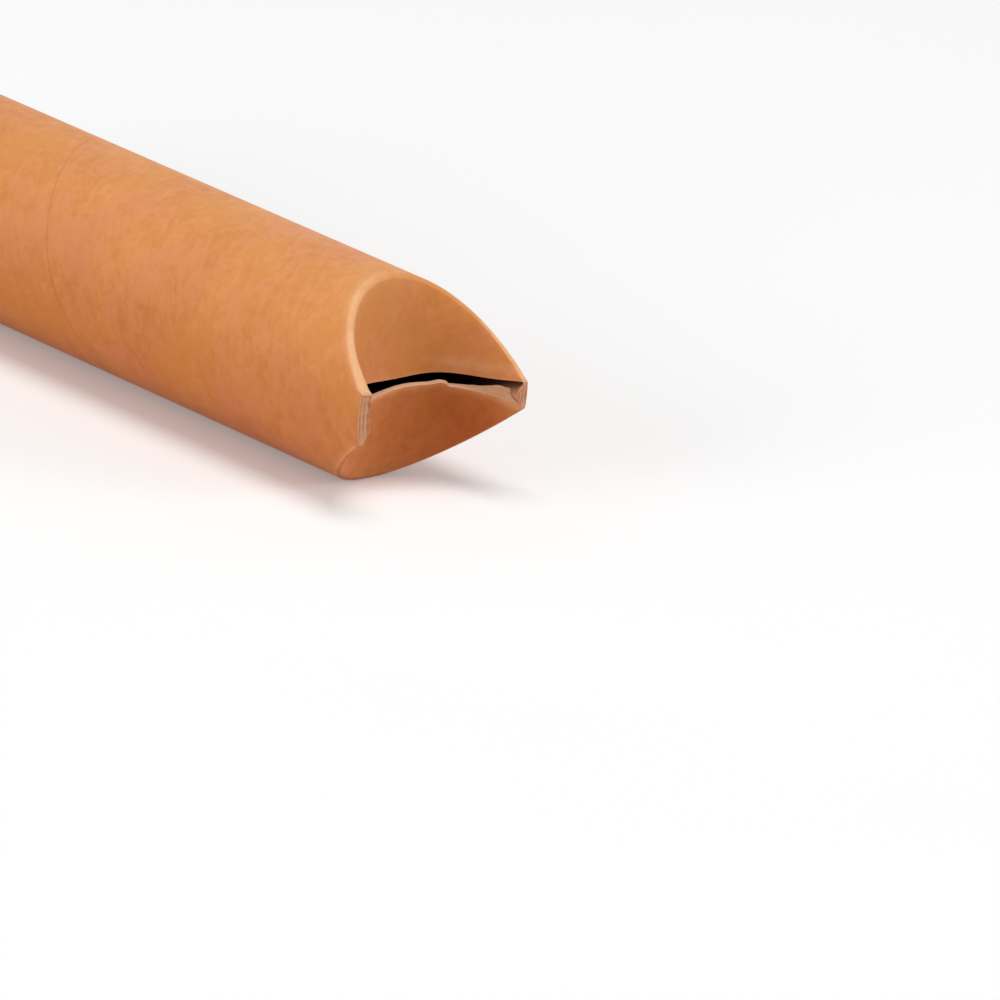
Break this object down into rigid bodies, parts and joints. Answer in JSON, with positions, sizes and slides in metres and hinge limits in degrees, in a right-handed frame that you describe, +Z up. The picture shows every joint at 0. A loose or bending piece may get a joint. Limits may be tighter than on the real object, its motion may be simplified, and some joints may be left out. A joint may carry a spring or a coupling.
{
  "type": "mailing tube",
  "caption": "Round kraft board mailing tube lying on its side, closed at each end by curved flaps of its own wall that are creased and pressed in to meet along a slit.",
  "frame": {"origin": "on the surface that the tube lies on, under the middle of its length", "axes": "+X along the tube, +Z up, with the slit between the flaps close to level at each end"},
  "size_m": [0.3048, 0.054, 0.0538],
  "materials": {
    "kraft_board": "plain unbleached kraft paper, matte with a faint sheen"
  },
  "bodies": {
    "root": {"mailing_tube": "kraft_board"}
  },
  "joints": []
}
